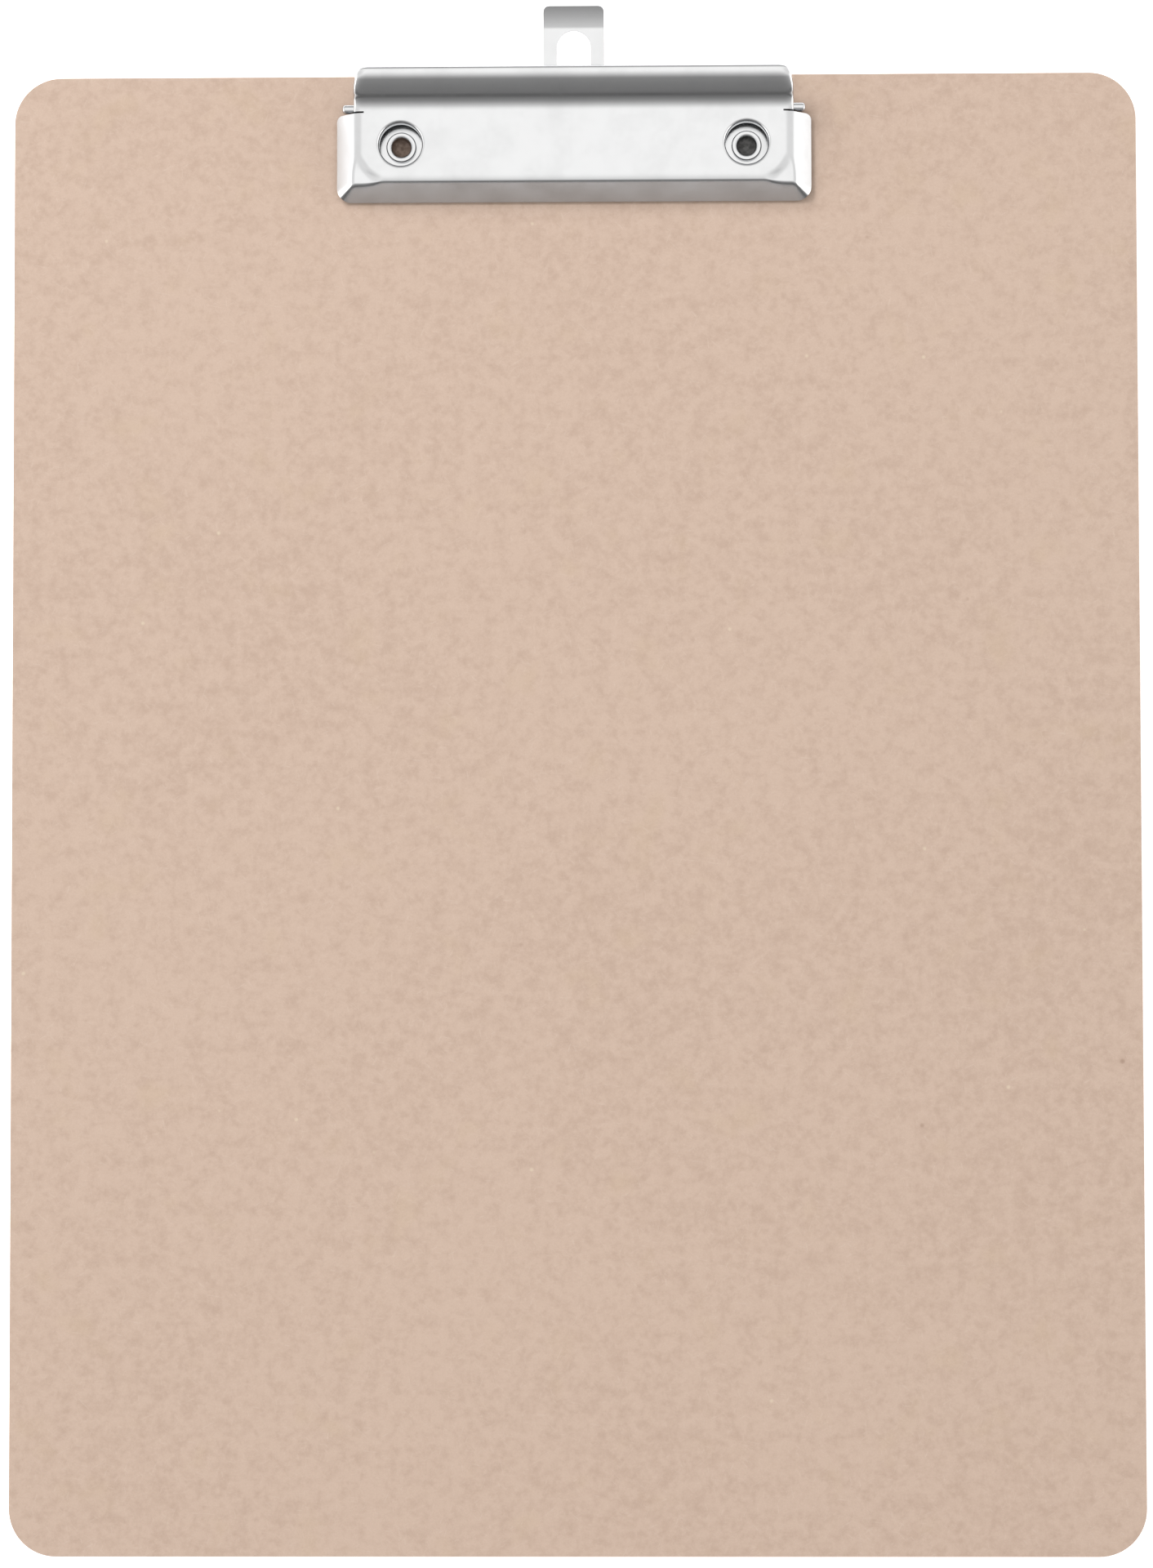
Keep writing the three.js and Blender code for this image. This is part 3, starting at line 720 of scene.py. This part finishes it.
def make_spring(name, side, material):
    """A spring's wire swept along its route, with eased ends."""
    bm = bmesh.new()
    route = spring_route()
    normal = Vector((1, 0, 0))
    rings = []
    last = len(route) - 1
    for i, point in enumerate(route):
        ahead = (route[min(i + 1, last)] - route[max(i - 1, 0)]).normalized()
        normal = (normal - ahead * normal.dot(ahead)).normalized()
        other = ahead.cross(normal)
        ring = []
        for u, v in circle(0, 0, WIRE_RADIUS, WIRE_SIDES):
            place = point + normal * u + other * v
            ring.append(bm.verts.new(to_row(side * place.x, place.y, place.z)))
        rings.append(ring)
    ring_faces(bm, rings)
    bm.faces.new(rings[0])
    bm.faces.new(rings[-1])
    spring = make_object(name, bm, material)
    ease_edges(spring, WIRE_END_ROUND, angle=60)
    return spring


# ---------------------------------------------------------------- hanging tab


def make_tab(material):
    """The strap with its shoulders and long eye, curled up at its end into a finger lip."""
    bm = bmesh.new()

    def vertex(x, y, z=TAB_TOP):
        return bm.verts.new(to_row(x, y, z))

    fine_end = TAB_FLAT_END + TAB_FINE_STRIP
    corner_start = TAB_END - TAB_CORNER
    lines_y = join_stretches([
        (TAB_FLAT_END, fine_end, 6),
        (fine_end, corner_start, 8),
        (corner_start, TAB_END, 8),
    ])
    edge_start = TAB_HALF_WIDTH - TAB_EDGE_STRIP
    lines_x = mirrored(join_stretches([(0, edge_start, 6), (edge_start, TAB_HALF_WIDTH, 3)]))
    rows = []
    for y in lines_y:
        rise = fold_drop(y - TAB_FLAT_END, TAB_BENDS)
        beyond = min(TAB_CORNER, max(0.0, y - corner_start))
        half = TAB_HALF_WIDTH - TAB_CORNER + math.sqrt(TAB_CORNER**2 - beyond**2)
        rows.append([vertex(x * half / TAB_HALF_WIDTH, y, TAB_TOP + rise) for x in lines_x])
    grid_faces(bm, rows)

    centre_x = TAB_SHOULDER_HALF_WIDTH - TAB_SHOULDER_CORNER
    centre_y = TAB_LOW.y + TAB_SHOULDER_CORNER
    right = [
        *arc(centre_x, centre_y, TAB_SHOULDER_CORNER, -90, 0, 6),
        (TAB_SHOULDER_HALF_WIDTH, TAB_SHOULDER_REAR),
        (TAB_HALF_WIDTH, TAB_SHOULDER_REAR),
    ]
    left = [(-x, y) for x, y in reversed(right)]
    outline = [vertex(x, y) for x, y in right]
    outline += list(reversed(rows[0]))
    outline += [vertex(x, y) for x, y in left]
    eye = [
        *arc(0, EYE_REAR - EYE_HALF_WIDTH, EYE_HALF_WIDTH, 0, 180, 32),
        *arc(0, EYE_FRONT + EYE_HALF_WIDTH, EYE_HALF_WIDTH, 180, 360, 32),
    ]
    fill_outlines(bm, [outline, [vertex(x, y) for x, y in eye]])
    tab = make_object("hanging_tab_strap", bm, material, up=(0, 0, 1))
    thicken(tab, TAB_SHEET)
    ease_edges(tab, TAB_EDGE_ROUND)
    return tab


# ---------------------------------------------------------------- materials


class Nodes:
    """A short way to write a material's or a world's nodes."""

    def __init__(self, tree):
        self.tree = tree
        tree.nodes.clear()

    def add(self, kind, inputs=(), **settings):
        """A new node. Each of its inputs is linked to a socket or set to a value."""
        node = self.tree.nodes.new(kind)
        for name, value in settings.items():
            setattr(node, name, value)
        for name, value in dict(inputs).items():
            if isinstance(value, bpy.types.NodeSocket):
                self.tree.links.new(value, node.inputs[name])
            else:
                node.inputs[name].default_value = value
        return node

    def noise(self, vector, scale, detail=2.0, roughness=0.5):
        """Soft noise between 0 and 1. A larger scale makes it finer."""
        inputs = {"Vector": vector, "Scale": scale, "Detail": detail, "Roughness": roughness}
        return self.add("ShaderNodeTexNoise", inputs).outputs["Fac"]

    def map_range(self, value, low, high, to_low=0.0, to_high=1.0, smooth=True):
        """Moves a value from one range to another and holds it at the ends."""
        node = self.add("ShaderNodeMapRange", interpolation_type="SMOOTHSTEP" if smooth else "LINEAR")
        self.tree.links.new(value, node.inputs["Value"])
        node.inputs["From Min"].default_value = low
        node.inputs["From Max"].default_value = high
        node.inputs["To Min"].default_value = to_low
        node.inputs["To Max"].default_value = to_high
        return node.outputs["Result"]

    def math(self, operation, a, b=0.0):
        """Joins two values, or values and sockets, by one of the math node's operations."""
        node = self.add("ShaderNodeMath", operation=operation)
        for socket, value in zip(node.inputs, (a, b)):
            if isinstance(value, bpy.types.NodeSocket):
                self.tree.links.new(value, socket)
            else:
                socket.default_value = value
        return node.outputs[0]

    def mix(self, share, a, b, blend="MIX"):
        """Colour a where share is 0, going over to b where it is 1."""
        node = self.add("ShaderNodeMix", data_type="RGBA", blend_type=blend)
        for name, value in (("Factor", share), ("A", a), ("B", b)):
            socket = next(s for s in node.inputs if s.name == name and s.enabled)
            if isinstance(value, bpy.types.NodeSocket):
                self.tree.links.new(value, socket)
            else:
                socket.default_value = value
        return next(s for s in node.outputs if s.enabled)

    def stretched(self, vector, scale, turn=0.0):
        """A point's coordinates turned about z by an angle in degrees, then scaled along each axis."""
        turned = self.add("ShaderNodeVectorRotate", {"Vector": vector, "Angle": math.radians(turn)})
        inputs = {"Vector": turned.outputs["Vector"], "Scale": scale}
        return self.add("ShaderNodeMapping", inputs).outputs["Vector"]

    def bump(self, height, strength, distance):
        """The surface's normal, tilted by the slopes of a height."""
        inputs = {"Height": height, "Strength": strength, "Distance": distance}
        return self.add("ShaderNodeBump", inputs).outputs["Normal"]


def new_material(name):
    """An empty material and its nodes."""
    material = bpy.data.materials.new(name)
    material.use_nodes = True
    return material, Nodes(material.node_tree)


def hardboard_material():
    """Smooth pressed fibreboard: soft blotches, short fibres lying every way and a few flecks."""
    material, nodes = new_material("hardboard_face")
    where = nodes.add("ShaderNodeTexCoord").outputs["Object"]

    pale = (0.404, 0.308, 0.250, 1)
    deep = (0.353, 0.263, 0.210, 1)
    warm = (0.389, 0.297, 0.217, 1)
    pale_fibre = (0.50, 0.42, 0.36, 1)
    dark_fleck = (0.16, 0.095, 0.06, 1)
    pale_fleck = (0.52, 0.45, 0.34, 1)
    edge_dark = (0.31, 0.21, 0.15, 1)
    edge_pale = (0.39, 0.28, 0.21, 1)

    drift = nodes.noise(where, 14, detail=2)
    blotches = nodes.noise(where, 290, detail=3, roughness=0.6)
    clouds = nodes.noise(where, 760, detail=3, roughness=0.6)
    tone = nodes.math("MULTIPLY", drift, 0.16)
    tone = nodes.math("ADD", tone, nodes.math("MULTIPLY", blotches, 0.43))
    tone = nodes.math("ADD", tone, nodes.math("MULTIPLY", clouds, 0.35))
    colour = nodes.mix(nodes.map_range(tone, 0.38, 0.64), pale, deep)
    warmth = nodes.map_range(nodes.noise(where, 95, detail=2), 0.58, 0.78)
    colour = nodes.mix(nodes.math("MULTIPLY", warmth, 0.35), colour, warm)

    fibres = None
    for turn in (8, 43, 79, 112, 151):
        squeezed = nodes.stretched(where, (330, 2300, 900), turn)
        strand = nodes.map_range(nodes.noise(squeezed, 1, detail=1.5), 0.66, 0.78)
        fibres = strand if fibres is None else nodes.math("MAXIMUM", fibres, strand)
    colour = nodes.mix(nodes.math("MULTIPLY", fibres, 0.16), colour, pale_fibre)

    grain = nodes.noise(where, 2600, detail=3, roughness=0.7)
    shade = nodes.map_range(grain, 0.25, 0.75, 0.955, 1.04, smooth=False)
    channels = {"Red": shade, "Green": shade, "Blue": shade}
    grey = nodes.add("ShaderNodeCombineColor", channels).outputs["Color"]
    colour = nodes.mix(1.0, colour, grey, blend="MULTIPLY")

    for scale, low, tint, share in ((95.0, 0.90, dark_fleck, 0.40), (120.0, 0.86, pale_fleck, 0.45)):
        cells = nodes.add("ShaderNodeTexVoronoi", {"Vector": where, "Scale": scale, "Randomness": 1.0})
        chosen = nodes.add("ShaderNodeSeparateColor", {"Color": cells.outputs["Color"]}).outputs["Red"]
        fleck = nodes.math(
            "MULTIPLY",
            nodes.map_range(cells.outputs["Distance"], 0.02, 0.07, 1.0, 0.0),
            nodes.map_range(chosen, low, low + 0.02),
        )
        colour = nodes.mix(nodes.math("MULTIPLY", fleck, share), colour, tint)

    normal = nodes.add("ShaderNodeTexCoord").outputs["Normal"]
    upright = nodes.add("ShaderNodeSeparateXYZ", {"Vector": normal}).outputs["Z"]
    on_edge = nodes.map_range(nodes.math("ABSOLUTE", upright), 0.75, 0.35)
    layers = nodes.noise(nodes.stretched(where, (180, 180, 2600)), 1, detail=3, roughness=0.6)
    edge_tone = nodes.mix(nodes.map_range(layers, 0.35, 0.65), edge_dark, edge_pale)
    colour = nodes.mix(on_edge, colour, edge_tone)

    relief = nodes.math("ADD", nodes.math("MULTIPLY", grain, 0.6), nodes.math("MULTIPLY", fibres, 0.25))
    rough = nodes.map_range(blotches, 0.3, 0.7, 0.52, 0.66, smooth=False)
    rough = nodes.math("ADD", rough, nodes.math("MULTIPLY", on_edge, 0.22))
    shader = nodes.add("ShaderNodeBsdfPrincipled", {
        "Base Color": colour,
        "Roughness": rough,
        "Specular IOR Level": 0.32,
        "Normal": nodes.bump(relief, 0.35, 0.00008),
    })
    nodes.add("ShaderNodeOutputMaterial", {"Surface": shader.outputs["BSDF"]})
    return material


def shaded_bore_material(name, tint, dark):
    """The inside of a rivet's bore: a dark tint that paints its shade, stained unevenly."""
    material, nodes = new_material(name)
    where = nodes.add("ShaderNodeTexCoord").outputs["Object"]
    stain = nodes.noise(where, 900, detail=4, roughness=0.65)
    colour = nodes.mix(nodes.map_range(stain, 0.35, 0.65), tint, dark)
    shader = nodes.add("ShaderNodeBsdfPrincipled", {
        "Base Color": colour,
        "Metallic": 0.35,
        "Roughness": nodes.map_range(stain, 0.3, 0.7, 0.5, 0.75, smooth=False),
        "Normal": nodes.bump(stain, 0.3, 0.00004),
    })
    nodes.add("ShaderNodeOutputMaterial", {"Surface": shader.outputs["BSDF"]})
    return material


def plated_material(name, tint, low, high, brushing):
    """Bright plate on pressed sheet: an even metal with faint haze, rolling marks and hairlines."""
    material, nodes = new_material(name)
    where = nodes.add("ShaderNodeTexCoord").outputs["Object"]
    haze = nodes.noise(where, 130, detail=4, roughness=0.6)
    ripple = nodes.noise(where, 60, detail=1)
    rolled = nodes.noise(nodes.stretched(where, brushing), 1, detail=3, roughness=0.65)
    hairline = nodes.map_range(
        nodes.noise(nodes.stretched(where, (90, 5200, 3000), turn=31), 1, detail=1),
        0.70, 0.78,
    )
    rough = nodes.map_range(haze, 0.3, 0.7, low, high, smooth=False)
    rough = nodes.math("ADD", rough, nodes.math("MULTIPLY", hairline, 0.03))
    dimmed = tuple(c * 0.93 for c in tint[:3]) + (1,)
    colour = nodes.mix(nodes.map_range(haze, 0.35, 0.8), tint, dimmed)
    height = nodes.math("ADD", nodes.math("MULTIPLY", rolled, 0.35), nodes.math("MULTIPLY", ripple, 1.0))
    height = nodes.math("SUBTRACT", height, nodes.math("MULTIPLY", hairline, 0.01))
    shader = nodes.add("ShaderNodeBsdfPrincipled", {
        "Base Color": colour,
        "Metallic": 1.0,
        "Roughness": rough,
        "Normal": nodes.bump(height, 0.2, 0.000015),
    })
    nodes.add("ShaderNodeOutputMaterial", {"Surface": shader.outputs["BSDF"]})
    return material


# ---------------------------------------------------------------- studio


def make_floor():
    """A wide pale floor just under the board."""
    bm = bmesh.new()
    half = FLOOR_HALF_SIZE
    corners = [(-half, -half), (half, -half), (half, half), (-half, half)]
    bm.faces.new([bm.verts.new((x, y, -FLOOR_GAP)) for x, y in corners])
    material, nodes = new_material("studio_floor")
    shader = nodes.add("ShaderNodeBsdfPrincipled", {
        "Base Color": (0.93, 0.93, 0.93, 1),
        "Roughness": 0.9,
        "Specular IOR Level": 0.1,
        "Emission Color": (1, 1, 1, 1),
        "Emission Strength": 0.45,
    })
    nodes.add("ShaderNodeOutputMaterial", {"Surface": shader.outputs["BSDF"]})
    floor = make_object("studio_floor", bm, material, up=(0, 0, 1))


def make_world():
    """A white studio that falls to grey towards the board's foot, with a grey wall behind the clip.

    Low down beyond the foot there is a dark band, with a paler strip under it along the horizon.
    Each side has a bright patch near the floor and a dimmer one above it.
    """
    white = (1.50, 1.465, 1.42, 1)
    foot_grey = (0.24, 0.234, 0.228, 1)
    foot_band = (0.13, 0.127, 0.124, 1)
    foot_strip = (0.47, 0.46, 0.45, 1)
    rear_grey = (0.6, 0.586, 0.57, 1)
    side_high = (1.15, 1.12, 1.09, 1)
    side_low = (2.8, 2.73, 2.65, 1)

    world = bpy.data.worlds.new("studio")
    bpy.context.scene.world = world
    world.use_nodes = True
    nodes = Nodes(world.node_tree)
    direction = nodes.add("ShaderNodeTexCoord").outputs["Generated"]

    def towards(azimuth, elevation):
        """The cosine of the angle between a ray and a direction. Azimuth 0 is the board's foot."""
        a, e = math.radians(azimuth), math.radians(elevation)
        aim = (math.sin(a) * math.cos(e), -math.cos(a) * math.cos(e), math.sin(e))
        dot = nodes.add("ShaderNodeVectorMath", {0: direction, 1: aim}, operation="DOT_PRODUCT")
        return dot.outputs["Value"]

    def lobe(azimuth, elevation, core, edge):
        """1 within the core angle of a direction, falling to 0 at the edge angle."""
        near, far = math.cos(math.radians(core)), math.cos(math.radians(edge))
        return nodes.map_range(towards(azimuth, elevation), far, near)

    fall = nodes.map_range(towards(0, 0), -0.03, 1.05)
    colour = nodes.mix(fall, white, foot_grey)
    height = towards(0, 90)
    bands = nodes.mix(nodes.map_range(height, 0.275, 0.19), colour, foot_band)
    bands = nodes.mix(nodes.map_range(height, 0.122, 0.035), bands, foot_strip)
    colour = nodes.mix(lobe(0, 0, 30, 55), colour, bands)
    colour = nodes.mix(nodes.map_range(towards(180, 0), 0.3, 0.9), colour, rear_grey)
    for side in (-1, 1):
        colour = nodes.mix(lobe(90 * side, 42, 14, 34), colour, side_high)
        colour = nodes.mix(lobe(75 * side, 4, 12, 32), colour, side_low)
    background = nodes.add("ShaderNodeBackground", {"Color": colour, "Strength": 1.0})
    nodes.add("ShaderNodeOutputWorld", {"Surface": background.outputs["Background"]})


def add_area_light(name, place, size, power):
    """A square lamp aimed at the origin, which no reflection or camera shows."""
    light = bpy.data.lights.new(name, "AREA")
    light.size = size
    light.energy = power
    lamp = bpy.data.objects.new(name, light)
    bpy.context.scene.collection.objects.link(lamp)
    lamp.location = place
    lamp.rotation_euler = (-Vector(place)).to_track_quat("-Z", "Y").to_euler()
    lamp.visible_camera = False
    lamp.visible_glossy = False


def make_camera():
    """Almost straight above the board, a little towards its foot, as the photograph was taken."""
    tilt_x, tilt_y, roll = (math.radians(a) for a in CAMERA_TURNS)
    tilt = Matrix.Rotation(tilt_x, 3, "X") @ Matrix.Rotation(tilt_y, 3, "Y")
    turn = (tilt @ Matrix.Rotation(roll, 3, "Z")).transposed()
    face_middle = Vector((0, 0, BOARD_HIGH.z))
    camera = bpy.data.objects.new("camera", bpy.data.cameras.new("camera"))
    camera.matrix_world = Matrix.Translation(face_middle - turn @ CAMERA_OFFSET) @ turn.to_4x4()
    camera.data.sensor_fit = "VERTICAL"
    camera.data.sensor_height = CAMERA_SENSOR
    camera.data.lens = CAMERA_LENS
    camera.data.clip_start = CAMERA_CLIP_START
    bpy.context.scene.collection.objects.link(camera)
    bpy.context.scene.camera = camera


# ---------------------------------------------------------------- the object


def place_piece(piece, body, node):
    """The piece rides on a CAD body and stands for a CAD node, which it hides."""
    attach(piece, body)
    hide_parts(node)


def build():
    """Makes every piece, and gives the CAD's base plate the clip's finish."""
    hardboard = hardboard_material()
    nickel = plated_material("nickel_plate_bright", (0.60, 0.615, 0.635, 1), 0.15, 0.20, (40, 900, 900))
    steel = plated_material("drawn_spring_steel", (0.62, 0.62, 0.61, 1), 0.22, 0.32, (900, 900, 900))

    place_piece(make_board(hardboard), "base", "board")
    place_piece(make_jaw(nickel), "jaw", "jaw_plate")
    place_piece(make_rod(nickel), "base", "pivot_rod")
    place_piece(make_tab(nickel), "tab", "hanging_tab")
    # The bores' insides are painted dark as shade: the left one's brown is partly rust, the right one's
    # grey is painted shade only.
    rust_and_shade = shaded_bore_material("rivet_bore_rust_and_painted_shade", (0.22, 0.165, 0.135, 1), (0.14, 0.10, 0.08, 1))
    dimmed = shaded_bore_material("rivet_bore_painted_shade", (0.13, 0.13, 0.13, 1), (0.07, 0.07, 0.07, 1))
    for name, x, inside in (("rivet_left", -RIVET_X, rust_and_shade), ("rivet_right", RIVET_X, dimmed)):
        rivet = make_rivet(f"{name}_rolled", x, nickel, inside)
        place_piece(rivet, "base", name)

    for name, side in (("spring_left", -1), ("spring_right", 1)):
        spring = make_spring(f"{name}_wire", side, steel)
        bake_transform(spring)
        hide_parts(name)

    base_plate = frame["nodes"]["base_plate"]
    base_plate.data.materials.clear()
    base_plate.data.materials.append(nickel)
    weld = base_plate.modifiers.new("weld", "WELD")
    weld.merge_threshold = BASE_WELD_DISTANCE * MM
    ease_edges(base_plate, BASE_EDGE_ROUND)


bpy.context.scene.view_settings.view_transform = "Standard"
make_camera()
make_world()
make_floor()
add_area_light("key", KEY_PLACE, KEY_SIZE, KEY_POWER)
build()
